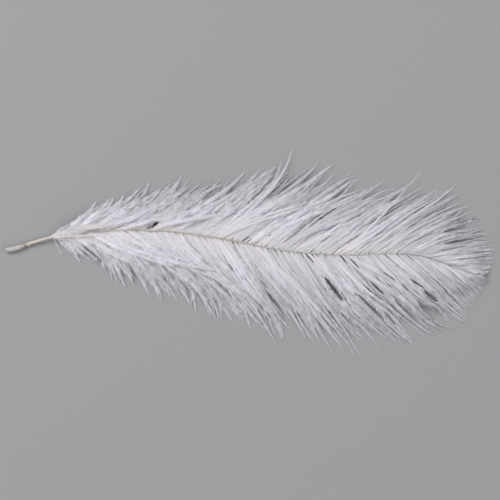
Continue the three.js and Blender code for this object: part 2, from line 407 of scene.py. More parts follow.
class BarbSheet:
    """Gathers barbs into one mesh."""

    def __init__(self):
        self.points = []
        self.triangles = []
        self.rows = []
        self.along = []
        self.tones = []
        self.count = 0

    def add(self, line, width, length, lean, lift, tone, rng, parted=True):
        """One barb: its centre line, and by point its width and its barbules' length, lean away
        from the barb and lift out of its plane, both in degrees."""
        n = len(line)
        along, left, over = frames_along(line)
        half = left * (width / 2)[:, None]
        rim = np.stack((line + half, line - half))
        between = (rim[:, 1:] + rim[:, :-1]) / 2
        m = n - 1
        tips = np.empty_like(between)
        for k, side in enumerate((1.0, -1.0)):
            spread = np.radians(lean[1:] * rng.uniform(*LEAN_SPREAD, m))
            raised = np.radians(lift[1:] * rng.normal(*LIFT_SPREAD, m))
            reach = length[1:] * rng.uniform(*LENGTH_SPREAD, m)
            outward = side * left[1:] * np.cos(raised)[:, None] + over[1:] * np.sin(raised)[:, None]
            direction = along[1:] * np.cos(spread)[:, None] + outward * np.sin(spread)[:, None]
            tips[k] = between[k] + direction * reach[:, None]
        points = np.concatenate((rim.reshape(-1, 3), tips.reshape(-1, 3)))
        guides = np.concatenate((line, line, line[1:], line[1:]))
        if parted:
            ragged = np.concatenate((np.ones(2 * n), rng.uniform(*RAGGED_SPREAD, 2 * m)))
            ease = rng.uniform(*EASE_SPREAD) * ragged
            points = part_barb(points, guides, ease)
        points[:, 2] = np.maximum(points[:, 2], LOWEST_POINT)

        i = np.arange(m)
        a, b = i, i + n
        left_tip, right_tip = 2 * n + i, 2 * n + m + i
        faces = np.concatenate(
            (
                np.column_stack((b, b + 1, a + 1)),
                np.column_stack((b, a + 1, a)),
                np.column_stack((a, a + 1, left_tip)),
                np.column_stack((b + 1, b, right_tip)),
            )
        )
        share = np.linspace(0, 1, n)
        row = np.repeat(BARB_ROW, (n, n, m, m))
        self.points.append(points)
        self.triangles.append(faces + self.count)
        self.rows.append(row + len(self.rows))
        self.along.append(np.concatenate((share, share, share[1:], share[1:])))
        self.tones.append(np.full(len(points), tone))
        self.count += len(points)

    def build(self, name, material):
        """Makes one piece of the barbs gathered so far."""
        along = np.concatenate(self.along)
        rows = np.concatenate(self.rows) / len(self.rows)
        uvs = np.column_stack((along * (1 - 2 * UV_MARGIN) + UV_MARGIN, rows))
        piece = mesh_object(
            name,
            np.concatenate(self.points),
            np.concatenate(self.triangles),
            uvs,
            {"along": along, "tone": np.concatenate(self.tones)},
            smooth=True,
        )
        dress(piece, material)
        return piece


# ---- Materials ---------------------------------------------------------------------------------


def new_material(name):
    material = bpy.data.materials.new(name)
    material.use_nodes = True
    material.node_tree.nodes.clear()
    return material, material.node_tree.nodes, material.node_tree.links


def new_node(nodes, kind, values=None, **properties):
    """A shader node with its properties, such as its operation, and its sockets' values."""
    node = nodes.new(f"ShaderNode{kind}")
    for name, value in properties.items():
        setattr(node, name, value)
    for socket, value in (values or {}).items():
        node.inputs[socket].default_value = value
    return node


def new_ramp(nodes, first, *between, last):
    """A colour ramp through stops, each a position and a colour."""
    ramp = nodes.new("ShaderNodeValToRGB")
    stops = ramp.color_ramp.elements
    for stop, (position, colour) in zip(stops, (first, last)):
        stop.position = position
        stop.color = (*colour, 1)
    for position, colour in between:
        stops.new(position).color = (*colour, 1)
    return ramp


def join(links, *rows):
    """Links nodes, each row a node and its output, and the node and input that it goes to."""
    for source, output, target, entry in rows:
        links.new(source.outputs[output], target.inputs[entry])


def down_material(settings, name, colour):
    """Soft down that lets some light through, a little warmer towards the shaft."""
    material, nodes, links = new_material(name)
    tone = new_node(nodes, "Attribute", attribute_name="tone")
    along = new_node(nodes, "Attribute", attribute_name="along")
    root, tip = (0.0, settings.down_root_colour), (1.0, settings.down_tip_colour)
    ramp = new_ramp(nodes, root, (0.35, colour), last=tip)
    shade = new_node(nodes, "Mix", {"Factor": 1.0}, data_type="RGBA", blend_type="MULTIPLY")
    noise = new_node(nodes, "TexNoise", {"Scale": 90.0, "Detail": 3.0})
    patch = new_node(nodes, "MapRange", {"To Min": 0.94, "To Max": 1.04})
    product = new_node(nodes, "Math", operation="MULTIPLY")
    principled = new_node(
        nodes, "BsdfPrincipled", {"Roughness": 0.8, "Specular IOR Level": 0.25}
    )
    through = new_node(nodes, "BsdfTranslucent")
    mix = new_node(nodes, "MixShader", {"Fac": 0.5})
    output = new_node(nodes, "OutputMaterial")
    join(
        links,
        (along, "Fac", ramp, "Fac"),
        (ramp, "Color", shade, "A"),
        (noise, "Fac", patch, "Value"),
        (patch, "Result", product, 0),
        (tone, "Fac", product, 1),
        (product, "Value", shade, "B"),
        (shade, "Result", principled, "Base Color"),
        (shade, "Result", through, "Color"),
        (principled, "BSDF", mix, 1),
        (through, "BSDF", mix, 2),
        (mix, "Shader", output, "Surface"),
    )
    return material


def keratin_material(settings):
    """Cream keratin, streaked along the shaft, whiter at the quill, browner in the vane, and
    near-black at the tip as painted shade.
    """
    material, nodes, links = new_material("cream_keratin")
    along = new_node(nodes, "Attribute", attribute_name="along")
    around = new_node(nodes, "Attribute", attribute_name="around")
    ramp = new_ramp(
        nodes,
        (0.02, settings.quill_end_colour),
        (0.035, settings.quill_end_colour),
        (0.045, settings.quill_colour),
        (0.15, settings.quill_colour),
        (0.28, settings.rachis_colour),
        (0.45, settings.rachis_colour),
        (0.62, settings.rachis_pale_colour),
        (0.78, settings.rachis_pale_colour),
        # painted shade: the shaft's last part is near-black to stand in for the shadowed valley
        # between the vanes
        last=(0.88, settings.rachis_tip_shade_colour),
    )
    place = new_node(nodes, "CombineXYZ")
    stretch = new_node(nodes, "Mapping", {"Scale": (75.0, 6.0, 1.0)})
    streaks = new_node(nodes, "TexNoise", {"Scale": 1.0, "Detail": 4.0})
    depth = new_node(
        nodes, "MapRange", {"From Min": 0.35, "From Max": 0.65, "To Min": 0.72, "To Max": 1.1}
    )
    shade = new_node(nodes, "Mix", {"Factor": 1.0}, data_type="RGBA", blend_type="MULTIPLY")
    bump = new_node(nodes, "Bump", {"Strength": 0.35, "Distance": 0.0001})
    principled = new_node(nodes, "BsdfPrincipled", {"Roughness": 0.42})
    output = new_node(nodes, "OutputMaterial")
    join(
        links,
        (along, "Fac", ramp, "Fac"),
        (along, "Fac", place, "X"),
        (around, "Fac", place, "Y"),
        (place, "Vector", stretch, "Vector"),
        (stretch, "Vector", streaks, "Vector"),
        (streaks, "Fac", depth, "Value"),
        (ramp, "Color", shade, "A"),
        (depth, "Result", shade, "B"),
        (shade, "Result", principled, "Base Color"),
        (streaks, "Fac", bump, "Height"),
        (bump, "Normal", principled, "Normal"),
        (principled, "BSDF", output, "Surface"),
    )
    return material


def sheath_material(settings):
    """Dry whitish skin, flecked with brown and browned along its torn edge."""
    material, nodes, links = new_material("dry_sheath")
    along = new_node(nodes, "Attribute", attribute_name="along")
    skin = new_ramp(
        nodes, (0.45, settings.quill_end_colour), last=(0.7, settings.sheath_colour)
    )
    torn = new_node(nodes, "MapRange", {"From Min": 0.55, "From Max": 0.75, "To Min": 0.08})
    speckle = new_node(nodes, "TexNoise", {"Scale": 750.0, "Detail": 3.0})
    patch = new_node(nodes, "MapRange", {"From Min": 0.48, "From Max": 0.55})
    flecks = new_node(nodes, "Math", operation="MULTIPLY")
    rim = new_node(nodes, "MapRange", {"From Min": 0.955, "From Max": 0.985, "To Max": 0.85})
    brown = new_node(nodes, "Math", operation="MAXIMUM")
    colour = new_node(
        nodes, "Mix", {"B": (*settings.sheath_edge_colour, 1)}, data_type="RGBA"
    )
    bump = new_node(nodes, "Bump", {"Strength": 0.4, "Distance": 0.0001})
    principled = new_node(nodes, "BsdfPrincipled", {"Roughness": 0.7})
    output = new_node(nodes, "OutputMaterial")
    join(
        links,
        (along, "Fac", skin, "Fac"),
        (skin, "Color", colour, "A"),
        (along, "Fac", torn, "Value"),
        (speckle, "Fac", patch, "Value"),
        (torn, "Result", flecks, 0),
        (patch, "Result", flecks, 1),
        (along, "Fac", rim, "Value"),
        (flecks, "Value", brown, 0),
        (rim, "Result", brown, 1),
        (brown, "Value", colour, "Factor"),
        (colour, "Result", principled, "Base Color"),
        (speckle, "Fac", bump, "Height"),
        (bump, "Normal", principled, "Normal"),
        (principled, "BSDF", output, "Surface"),
    )
    return material


def floor_material(settings):
    """Plain pale paper."""
    material, nodes, links = new_material("pale_floor")
    values = {"Base Color": (*settings.floor_colour, 1), "Roughness": 0.9}
    principled = new_node(nodes, "BsdfPrincipled", values)
    output = new_node(nodes, "OutputMaterial")
    join(links, (principled, "BSDF", output, "Surface"))
    return material


# ---- Shaft -------------------------------------------------------------------------------------

SHAFT_SIDES = 14
SHAFT_STEP = 0.9  # distance between the shaft's rings
SHAFT_START = 0.5  # where the rings start, behind the rounded rim of the cut end
CUT_END_RINGS = (  # depth from the rim's inner edge, radius: the pith, the rim and the rounded edge
    (0.5, 0.3),
    (0.25, 0.75),
    (-0.45, 1.0),
    (-0.5, 1.2),
    (-0.3, 1.38),
)


def tube(line, radii):
    """A closed tube along a line: points, triangles, and each point's place along and around."""
    n, sides = len(line), SHAFT_SIDES
    _, left, over = frames_along(line[len(CUT_END_RINGS) :])
    left = np.concatenate((np.repeat(left[:1], len(CUT_END_RINGS), axis=0), left))
    over = np.concatenate((np.repeat(over[:1], len(CUT_END_RINGS), axis=0), over))
    angle = np.linspace(0, 2 * math.pi, sides, endpoint=False)
    ring = (
        left[:, None, :] * np.cos(angle)[None, :, None]
        + over[:, None, :] * np.sin(angle)[None, :, None]
    )
    points = line[:, None, :] + ring * radii[:, None, None]
    points = np.concatenate((points.reshape(-1, 3), line[:1], line[-1:]))
    i, j = np.meshgrid(np.arange(n - 1), np.arange(sides), indexing="ij")
    a, b = (i * sides + j).ravel(), (i * sides + (j + 1) % sides).ravel()
    rim = np.arange(sides)
    start, end = n * sides, n * sides + 1
    last = (n - 1) * sides
    faces = np.concatenate(
        (
            np.column_stack((a, b, b + sides)),
            np.column_stack((a, b + sides, a + sides)),
            np.column_stack((np.full(sides, start), (rim + 1) % sides, rim)),
            np.column_stack((np.full(sides, end), last + rim, last + (rim + 1) % sides)),
        )
    )
    along = np.concatenate((np.repeat(np.linspace(0, 1, n), sides), (0.0, 1.0)))
    around = np.concatenate((np.tile(rim / sides, n), (0.0, 0.0)))
    return points, faces, along, around


def shaft_mesh():
    """The quill and the rachis in one tube, with a cupped, rounded cut end."""
    x = np.arange(SHAFT[0, 0] + SHAFT_START, SHAFT[-1, 0] + SHAFT_STEP / 2, SHAFT_STEP)
    line, radii = shaft_at(x)
    inwards = unit(line[1] - line[0])
    rim = np.array([line[0] + inwards * depth for depth, _ in CUT_END_RINGS])
    rim_radii = [radius for _, radius in CUT_END_RINGS]
    return tube(np.concatenate((rim, line)), np.concatenate((rim_radii, radii)))


def sheath_mesh():
    """The sheath as a closed thin shell around the quill, with a ragged far edge: points,
    triangles, and each point's place along and around."""
    sides = SHEATH_SIDES
    angle = np.linspace(0, 2 * math.pi, sides, endpoint=False)
    slant = (SHEATH_TOP + SHEATH_BOTTOM) / 2 + (SHEATH_TOP - SHEATH_BOTTOM) / 2 * np.sin(angle)
    ragged = sum(depth * np.sin(count * angle + turn) for depth, count, turn in SHEATH_TEETH)
    edge = slant + ragged
    line, _ = shaft_at(np.array((SHEATH_START, SHEATH_HEADING_AT)))
    forward = unit(line[1] - line[0])
    left = unit(np.cross((0.0, 0.0, 1.0), forward))
    around = left * np.cos(angle)[:, None] + np.cross(forward, left) * np.sin(angle)[:, None]
    outside = [(share, True) for share in np.linspace(0, 1, SHEATH_ROWS)]
    rings, along = [], []
    for share, is_outside in [*outside, (1, False), (0, False)]:
        centre, radius = shaft_at(SHEATH_START + share * (edge - SHEATH_START))
        height, count, twist = SHEATH_UNEVEN
        uneven = 1 + height * np.sin(count * angle + twist * share)
        swell = SHEATH_THICKNESS * (1 - SHEATH_THINNING * share) * uneven
        crumple = SHEATH_BULGE * (1 - np.cos(angle))
        for height, count, twist in SHEATH_CRUMPLES:
            crumple = crumple + height * np.sin(count * angle + twist * share)
        crumpled = smoothstep(*SHEATH_CRUMPLED, share)
        swell = swell + crumpled * np.maximum(crumple, SHEATH_DEEPEST)
        reach = radius + (swell if is_outside else SHEATH_INSIDE)
        rings.append(centre + around * reach[:, None])
        along.append(np.full(sides, share))
    points = np.concatenate(rings)
    i, j = np.meshgrid(np.arange(len(rings)), np.arange(sides), indexing="ij")
    here, beside = i * sides + j, i * sides + (j + 1) % sides
    ahead = (i + 1) % len(rings) * sides + j
    across = (i + 1) % len(rings) * sides + (j + 1) % sides
    faces = np.concatenate(
        (
            np.column_stack((here.ravel(), beside.ravel(), across.ravel())),
            np.column_stack((here.ravel(), across.ravel(), ahead.ravel())),
        )
    )
    return points, faces, np.concatenate(along), np.tile(np.arange(sides) / sides, len(rings))


def chip_mesh():
    """A thin curled chip: points, triangles, and each point's place along and across."""
    line, widths = np.array(CHIP_LINE), np.array(CHIP_WIDTHS)
    _, left, over = frames_along(line)
    half, thick = left * widths[:, None] / 2, over * CHIP_THICKNESS / 2
    corners = ((1, 1), (-1, 1), (-1, -1), (1, -1))
    rings = np.stack([line + a * half + b * thick for a, b in corners], axis=1)
    points = rings.reshape(-1, 3)
    faces = [(0, 1, 2), (0, 2, 3)]
    for i in range(len(line) - 1):
        for k in range(4):
            a, b = 4 * i + k, 4 * i + (k + 1) % 4
            faces += [(a, a + 4, b + 4), (a, b + 4, b)]
    last = 4 * (len(line) - 1)
    faces += [(last, last + 2, last + 1), (last, last + 3, last + 2)]
    along = np.repeat(np.linspace(0, 1, len(line)), 4)
    return points, np.array(faces), along, np.tile((0.9, 0.1, 0.1, 0.9), len(line))


# ---- Barbs -------------------------------------------------------------------------------------

LINE_STEPS = 80  # points of a barb's line before it is read at its barbules
LEAST_POINTS = 8  # of the line of a built barb
DOWNY_RANGE = (60, 170)  # where along the shaft the barbs turn from downy to crisp
KEPT_AT_ROOT, KEPT_AT_TIP = 0.38, 0.3  # share of a barb over which it keeps its end's heading
RIM_BLUR = 1.3  # how many locks to each side the rim is smoothed over

# A barb's rise over the floor.
LANDING = 0.85  # share of a barb's length at which it has come down to the floor
PUFF = 2.2  # how far a vane's middle rises over a straight slope down from the shaft
ROOT_DEPTH = 0.3  # how far below the shaft's middle a root sits, as a share of its radius
RIPPLES = (26.0, 15.0, 9.0)  # lengths of the waves in which a barb rises and sinks
RIPPLE_STRETCH = (0.7, 1.3)  # how much shorter or longer these turn out, least and most
OWN_RIPPLE, STRAND_RIPPLE = 0.3, 0.45  # heights of a barb's own ripples and of its strand's
SWELLS = ((7.0, 1.3, 0.1), (11.0, -0.9, 0.4), (17.0, 0.8, 0.8))  # length, drift and start
SWELL_HEIGHT = 0.8  # height of each of the broad ridges that the swells make
RIPPLING_LENGTH = 45.0  # length from which a barb ripples at its full height
CALM_ROOT = 0.35  # share of a barb over which its ripples grow from nothing
CRISP_BILLOW, PLACED_BILLOW = 0.5, 0.7  # billow of crisp barbs, and of strands placed one by one
LOWEST_BARB = 0.15  # least height of a barb's line
WOBBLE, DOWNY_WOBBLE = 0.15, 0.3  # how far a barb waves to its sides: usual, more if downy
WOBBLES = (0.8, 2.4)  # how many waves, least and most

# A barb's barbules.
BARE_ROOT = (4.0, 10.0)  # length of a barb's root over which its barbules grow, least and most
BARER, BARER_RANGE = 0.6, (215.0, 245.0)  # how much longer it gets, and where along the shaft
SHORT_BARB = 8.0  # shorter barbs are taken as this long for it
ROOT_BARBULE = 0.03  # length of the first barbules, as a share of the full length
TAPERS = (  # between which shares of a barb its barbules shorten, by how much, and more if downy
    (0.5, 0.9, 0.5, -0.2),
    (0.88, 1.0, 0.35, 0.2),
)
CLUMP, CLUMP_LENGTHS = 0.3, (3.5, 7.0)  # how much barbules vary along a barb, and over what length
BARBULE_LEAN, DOWNY_LEAN, TIP_LEAN = 40, 8, 12  # degrees: usual, more if downy, less at the tip
BARBULE_LIFT, DOWNY_LIFT = 14, 10  # degrees out of the barb's plane: usual, more if downy
ROOT_WIDTH, TAPERED_WIDTH = 0.18, 0.12  # a barb's width at its root, and how much it loses
SHAFT_CLEAR = (0.1, 1.1)  # longest barbule at the shaft, and how much more by distance from it

# The layers of a vane: spacing of the barbs against the usual, how fully they join their locks,
# how much higher they lie, and by which share they fall short of the rim, least and most.
LAYERS = {
    "under": {"gap": 1.3, "pull": 0.35, "lift": -1.8, "short": (0.05, 0.3)},
    "top": {"gap": 1.0, "pull": 0.95, "lift": 0.0, "short": None},
    "over": {"gap": 3.0, "pull": 0.6, "lift": 0.6, "short": (0.2, 0.65)},
}
STRAND_SIZE, COMB_SIZE = 6.0, 1.5  # how many barbs a strand may have beyond two, and in the comb
OVER_SIZE = (1, 3)  # least of a strand that lies over the others, and the number it stays under
SMALL_STRANDS = 1.8  # the higher, the fewer large strands
ROOT_JITTER = 0.15  # spread of the roots about even spacing, as a share of it
ROOTS_GATHERED = 0.55  # how close a strand's roots stand, as a share of even spacing
GATHERED, COMB_LOOSER = 0.85, 0.4  # how fully a strand's barbs meet, and how much less in the comb
MEET_START = (0.35, 0.6)  # share of a strand at which its barbs start to meet, least and most
DRAW_POWER = 1.25  # how late they do most of it: 1 is evenly
JOIN_START = (0.4, 0.6)  # share of a strand at which it starts to join its lock, least and most
JOIN_STRAY = 0.9  # spread along the shaft of the lock that a strand joins
COMB_FREE, COMB_STRAY = 0.95, 0.8  # how much less strands join in the comb, and its tips' spread
TIP_STRAY, MIDDLE_STRAY = 0.9, 1.0  # spreads of a short strand's tip and of a strand's middle
STRAND_LIFT, BARB_LIFT = 0.8, 0.2  # spreads of how high strands and their barbs lie
DIP, DIPS = (0.2, 0.8), (1.0, 2.5)  # height and number of a strand's long waves, least and most
TIP_HEIGHT = (0.4, 1.8)  # height of a strand's tip, least and most
TOP_SHORT = 0.22  # most that a strand of the top layer falls short of the rim, as a share
SHORT_POWER = 1.3  # the higher, the fewer fall far short
BARB_SHORT = (0.02, 0.28)  # least, and how much more, that a barb falls short of its strand
COMB_EVEN = 0.6  # how much less of either in the comb
LOCK_RAISE = (-1.3, 1.5)  # how much higher a lock lies than the vane's slope, least and most
SHINGLE = 0.9  # how much higher a lock's far edge lies than its middle, and its near edge lower
SHINGLE_REACH = 3.0  # distance along the shaft from a lock's middle to its edge
LOCK_TURN = (2.0, 7.0)  # spread of the locks' headings at root and tip
STRAY_TURN = 4.0  # spread of the strands' headings
WILD_TURN, WILD_SHARE = 7.0, 0.12  # a few strands turn further
OVER_TURN = (3.0, 9.0)  # spread of the headings of the strands that lie over the others
LOCK_TONE, STRAND_TONE, BARB_TONE = 0.015, 0.035, 0.045  # spreads of how light they are
PALE_BASE, TIP_DARKER = 1.05, 0.1  # tone at the quill, and how much darker it is at the tip
SWEEP_RANGE = (42.0, 215.0)  # where some strands lie flatter to the shaft
SWEEP_SHARE = 0.5  # share of the strands there that do
SWEEPS = (5.0, 20.0)  # how much further on they join a lock, least and most
SWEEP_TURN = (-0.5, 0.4)  # how their headings turn, at root and tip
SWEEP_LIFT = 0.07  # how much higher they lie, for each millimetre further on
PLACED_GAP = 0.6  # distance along the shaft between the roots of strands placed one by one
PLACED_TONE = 1.03  # how light they are
PLACED_DIP = (0.2, 1.0)  # height and number of their long waves
PLACED_STRAY, PLACED_LIFT = 0.4, 0.15  # spreads of their barbs' middles, to the side and upwards
PLACED_SHORT = (0.04, 0.25)  # share by which their barbs end before the first, least and most


class Barb(NamedTuple):
    """One barb before it is built."""

    root_x: float
    plan: np.ndarray  # its line as seen from above
    end: float  # share of that line at which it ends
    lift: float  # how much higher its middle lies than the vane's slope
    downy: float  # 1 near the quill, 0 towards the plume's tip
    tone: float  # how light it is
    lay: float  # height of its tip
    dip: tuple  # the long wave in it: height, how many waves, and start
    billow: float  # how strongly it takes up ripples and swells
    fluff: float = 1.0  # how long its barbules are against the usual
    covers: bool = False  # whether its barbules may lie over the shaft


def bent_line(root_x, tip, root_heading, tip_heading):
    """A smooth line in plan from the shaft to a tip, leaving and arriving with given headings."""
    root = shaft_at(root_x)[0][0, :2]
    chord = np.linalg.norm(tip - root)
    out, onward = heading_vector(root_heading), heading_vector(tip_heading)
    t = np.linspace(0, 1, LINE_STEPS)[:, None]
    first = root + out * chord * KEPT_AT_ROOT
    second = tip - onward * chord * KEPT_AT_TIP
    return (
        root * (1 - t) ** 3
        + 3 * first * t * (1 - t) ** 2
        + 3 * second * t * t * (1 - t)
        + tip * t**3
    )


def run_line(root_x, tip, vane, turn=(0.0, 0.0)):
    """A barb's line in plan, leaving and arriving with the vane's own headings, turned a little."""
    headings = smooth_table(vane["headings"], root_x)[0] + turn
    return bent_line(root_x, tip, *(vane["side"] * headings))


def rim_at(vane, root_x):
    """Where the vane's rim would lie for a root if no lock stood out from its neighbours."""
    locks = vane["locks"]
    place = np.interp(root_x, locks[:, 0], np.arange(len(locks)))
    near = np.exp(-(((np.arange(len(locks)) - place) / RIM_BLUR) ** 2))
    return near @ locks[:, 1:] / near.sum()


def downiness(root_x):
    """How downy a barb is by its root: 1 near the quill, 0 towards the plume's tip."""
    return float(1 - smoothstep(*DOWNY_RANGE, root_x))


def drawing_together(start, t):
    """The share by which lines have drawn together at t: none up to start, and all at the end."""
    return np.clip((t - start) / (1 - start), 0, 1) ** DRAW_POWER


def swells(root_x, share):
    """Soft ridges that run obliquely over the barbs, by a barb's root and the place on it."""
    height = 0.0
    for length, drift, start in SWELLS:
        height = height + np.sin(2 * math.pi * (root_x / length + drift * share + start))
    return height


def barb_heights(barb, at, share, total, rng):
    """The heights of a barb's points: sloping down from the shaft, with its ripples and swells."""
    root, radius = shaft_at(barb.root_x)
    fall = np.minimum(1, share / LANDING)
    z = (root[0, 2] - ROOT_DEPTH * radius[0]) * (1 - fall) + barb.lay * fall
    z += (PUFF + barb.lift) * np.sin(math.pi * fall)
    height, waves, start = barb.dip
    z += np.sin(math.pi * share) * height * np.sin(2 * math.pi * (waves * share + start))
    loose = min(1.0, total / RIPPLING_LENGTH) * np.sin(math.pi * share)
    loose = loose * smoothstep(0.0, CALM_ROOT, share)
    loose = loose * barb.billow
    shared_stretch = np.interp(start, (0, 1), RIPPLE_STRETCH)
    for length in RIPPLES:
        stretch = rng.uniform(*RIPPLE_STRETCH)
        own = np.sin(2 * math.pi * (at / (length * stretch) + rng.random()))
        shared = np.sin(2 * math.pi * (at / (length * shared_stretch) + 7 * height))
        z += loose * (OWN_RIPPLE * own + STRAND_RIPPLE * shared)
    z += SWELL_HEIGHT * loose * swells(barb.root_x, share)
    return np.maximum(z, LOWEST_BARB)


def barbule_lengths(barb, settings, at, share, total, rng):
    """The lengths of a barb's barbules, by their place on it."""
    crisp_length, downy_length = settings.crisp_barbule / MM, settings.downy_barbule / MM
    full = crisp_length + (downy_length - crisp_length) * barb.downy
    bare = rng.uniform(*BARE_ROOT) * (1 + BARER * smoothstep(*BARER_RANGE, barb.root_x))
    opened = smoothstep(0.0, bare / max(total, SHORT_BARB), share)
    opening = ROOT_BARBULE + (1 - ROOT_BARBULE) * opened
    closing = 1.0
    for start, stop, less, downy_less in TAPERS:
        taper = smoothstep(start, stop, share / barb.end)
        closing = closing - (less + downy_less * barb.downy) * taper
    clumps = np.sin(2 * math.pi * (at / rng.uniform(*CLUMP_LENGTHS) + rng.random()))
    return full * opening * closing * (1 + CLUMP * clumps) * barb.fluff


def add_barb(sheet, barb, settings, rng):
    """Adds one barb to a sheet: its line in plan, cut at a share of its length, raised over the
    floor, with its barbules' lengths and angles by their place on it."""
    plan = barb.plan
    run = np.concatenate(([0.0], np.cumsum(np.linalg.norm(np.diff(plan, axis=0), axis=1))))
    total = run[-1]
    count = max(LEAST_POINTS, int(total * barb.end / (settings.barbule_spacing / MM)))
    at = np.linspace(0, total * barb.end, count)
    share = at / total
    plan = np.column_stack((np.interp(at, run, plan[:, 0]), np.interp(at, run, plan[:, 1])))
    direction = unit(np.gradient(plan, axis=0))
    normal = np.column_stack((-direction[:, 1], direction[:, 0]))
    wobble = WOBBLE + DOWNY_WOBBLE * barb.downy
    wave = 2 * math.pi * (rng.uniform(*WOBBLES) * share + rng.random())
    plan = plan + normal * (wobble * share * np.sin(wave))[:, None]
    line = np.column_stack((plan, barb_heights(barb, at, share, total, rng)))
    length = barbule_lengths(barb, settings, at, share, total, rng)
    if not barb.covers:
        beside = np.abs(plan[:, 1] - shaft_at(plan[:, 0])[0][:, 1])
        length = np.minimum(length, SHAFT_CLEAR[0] + SHAFT_CLEAR[1] * beside)
    along = share / barb.end
    lean = (BARBULE_LEAN + DOWNY_LEAN * barb.downy) - TIP_LEAN * along
    raised = np.full_like(share, BARBULE_LIFT + DOWNY_LIFT * barb.downy)
    width = ROOT_WIDTH - TAPERED_WIDTH * along
    sheet.add(line, width, length, lean, raised, barb.tone, rng)


def strand_lines(vane, roots, layer, sweep, lock_turn, short, rng):
    """The plan lines of one strand's barbs, each from its own root, and the lock they join. A
    sweeping strand lies flatter to the shaft and turns out to a lock further on."""
    locks = vane["locks"]
    middle = float(np.mean(roots))
    comb = float(smoothstep(*vane["comb"], middle))
    onward = middle + rng.normal(0, JOIN_STRAY) + sweep
    j = int(np.argmin(np.abs(locks[:, 0] - onward)))
    t = np.linspace(0, 1, LINE_STEPS)[:, None]
    stray = STRAY_TURN * (1 + (vane["stray"] - 1) * downiness(middle))
    turn = rng.normal(0, stray, 2)
    turn = turn + rng.normal(0, WILD_TURN, 2) * (rng.random() < WILD_SHARE)
    if layer == "over":
        turn = rng.normal(0, OVER_TURN, 2)
    turn += np.array(SWEEP_TURN) * sweep
    even = run_line(middle, rim_at(vane, middle + sweep), vane, turn)
    lock_tip = locks[j, 1:] + rng.normal(0, COMB_STRAY * comb, 2)
    lock = run_line(locks[j, 0], lock_tip, vane, lock_turn[j])
    pull = LAYERS[layer]["pull"] * (1 - COMB_FREE * comb)
    drawn = pull * drawing_together(rng.uniform(*JOIN_START), t)
    strand = even * (1 - drawn) + lock * drawn
    strand = strand + rng.normal(0, TIP_STRAY if short > 0 else 0.0, 2) * t**2
    strand = strand + rng.normal(0, MIDDLE_STRAY, 2) * np.sin(math.pi * t)
    meeting = drawing_together(rng.uniform(*MEET_START), np.minimum(t / (1 - short), 1))
    gathered = (GATHERED - COMB_LOOSER * comb) * meeting
    lines = []
    for x in roots:
        own = run_line(x, rim_at(vane, x + sweep), vane, turn + rng.normal(0, stray, 2))
        lines.append(own * (1 - gathered) + strand * gathered)
    return j, lines


def strand_shortness(layer, leads, comb, rng):
    """The share by which a strand falls short of the rim. A strand that leads its lock reaches it."""
    short = TOP_SHORT * rng.random() ** SHORT_POWER * (1 - COMB_EVEN * comb)
    if LAYERS[layer]["short"]:
        short = rng.uniform(*LAYERS[layer]["short"])
    return 0.0 if leads else short


def vane_barbs(vane, settings, rng):
    """Every barb of one vane, built up layer by layer and strand by strand, from quill to tip."""
    locks = vane["locks"]
    spacing = settings.barb_spacing / MM
    lock_raise = rng.uniform(*LOCK_RAISE, len(locks))
    lock_tone = rng.normal(1.0, LOCK_TONE, len(locks))
    lock_turn = rng.normal(0, LOCK_TURN, (len(locks), 2))
    leaders = set()
    barbs = []
    for layer, layout in LAYERS.items():
        roots = np.arange(vane["start"], VANE_END, spacing * layout["gap"])
        roots = roots + rng.normal(0, ROOT_JITTER * spacing, len(roots))
        first = 0
        while first < len(roots):
            most = COMB_SIZE if roots[first] > vane["comb"][0] else STRAND_SIZE
            size = 2 + int(most * rng.random() ** SMALL_STRANDS)
            if layer == "over":
                size = rng.integers(*OVER_SIZE)
            members = roots[first : first + size]
            first += len(members)
            middle = float(members.mean())
            members = middle + ROOTS_GATHERED * (members - middle)
            comb = float(smoothstep(*vane["comb"], middle))
            nearest = int(np.argmin(np.abs(locks[:, 0] - middle)))
            leads = layer == "top" and nearest not in leaders
            if leads:
                leaders.add(nearest)
            short = strand_shortness(layer, leads, comb, rng)
            sweep = 0.0
            sweeps_here = layer == "top" and SWEEP_RANGE[0] < middle < SWEEP_RANGE[1]
            if sweeps_here and rng.random() < SWEEP_SHARE:
                sweep = rng.uniform(*SWEEPS)
            j, lines = strand_lines(vane, members, layer, sweep, lock_turn, short, rng)
            beside = float(np.clip((middle + sweep - locks[j, 0]) / SHINGLE_REACH, -1, 1))
            lift = lock_raise[j] + SHINGLE * beside + rng.normal(0, STRAND_LIFT)
            lift += SWEEP_LIFT * sweep
            lift += layout["lift"]
            dip = (rng.uniform(*DIP), rng.uniform(*DIPS), rng.random())
            tone = lock_tone[j] * rng.normal(1.0, STRAND_TONE)
            tone *= PALE_BASE - TIP_DARKER * middle / VANE_END
            lay = rng.uniform(*TIP_HEIGHT)
            leader = rng.integers(len(members))
            downy = downiness(middle)
            billow = CRISP_BILLOW + (vane["billow"] - CRISP_BILLOW) * downy
            for k, (root_x, plan) in enumerate(zip(members, lines)):
                back = 0.0 if k == leader else BARB_SHORT[0] + BARB_SHORT[1] * rng.random()
                end = (1 - short) * (1 - back * (1 - COMB_EVEN * comb))
                raised = lift + rng.normal(0, BARB_LIFT)
                light = tone * rng.normal(1.0, BARB_TONE)
                barbs.append(Barb(root_x, plan, end, raised, downy, light, lay, dip, billow))
    return sorted(barbs, key=lambda barb: barb.root_x)


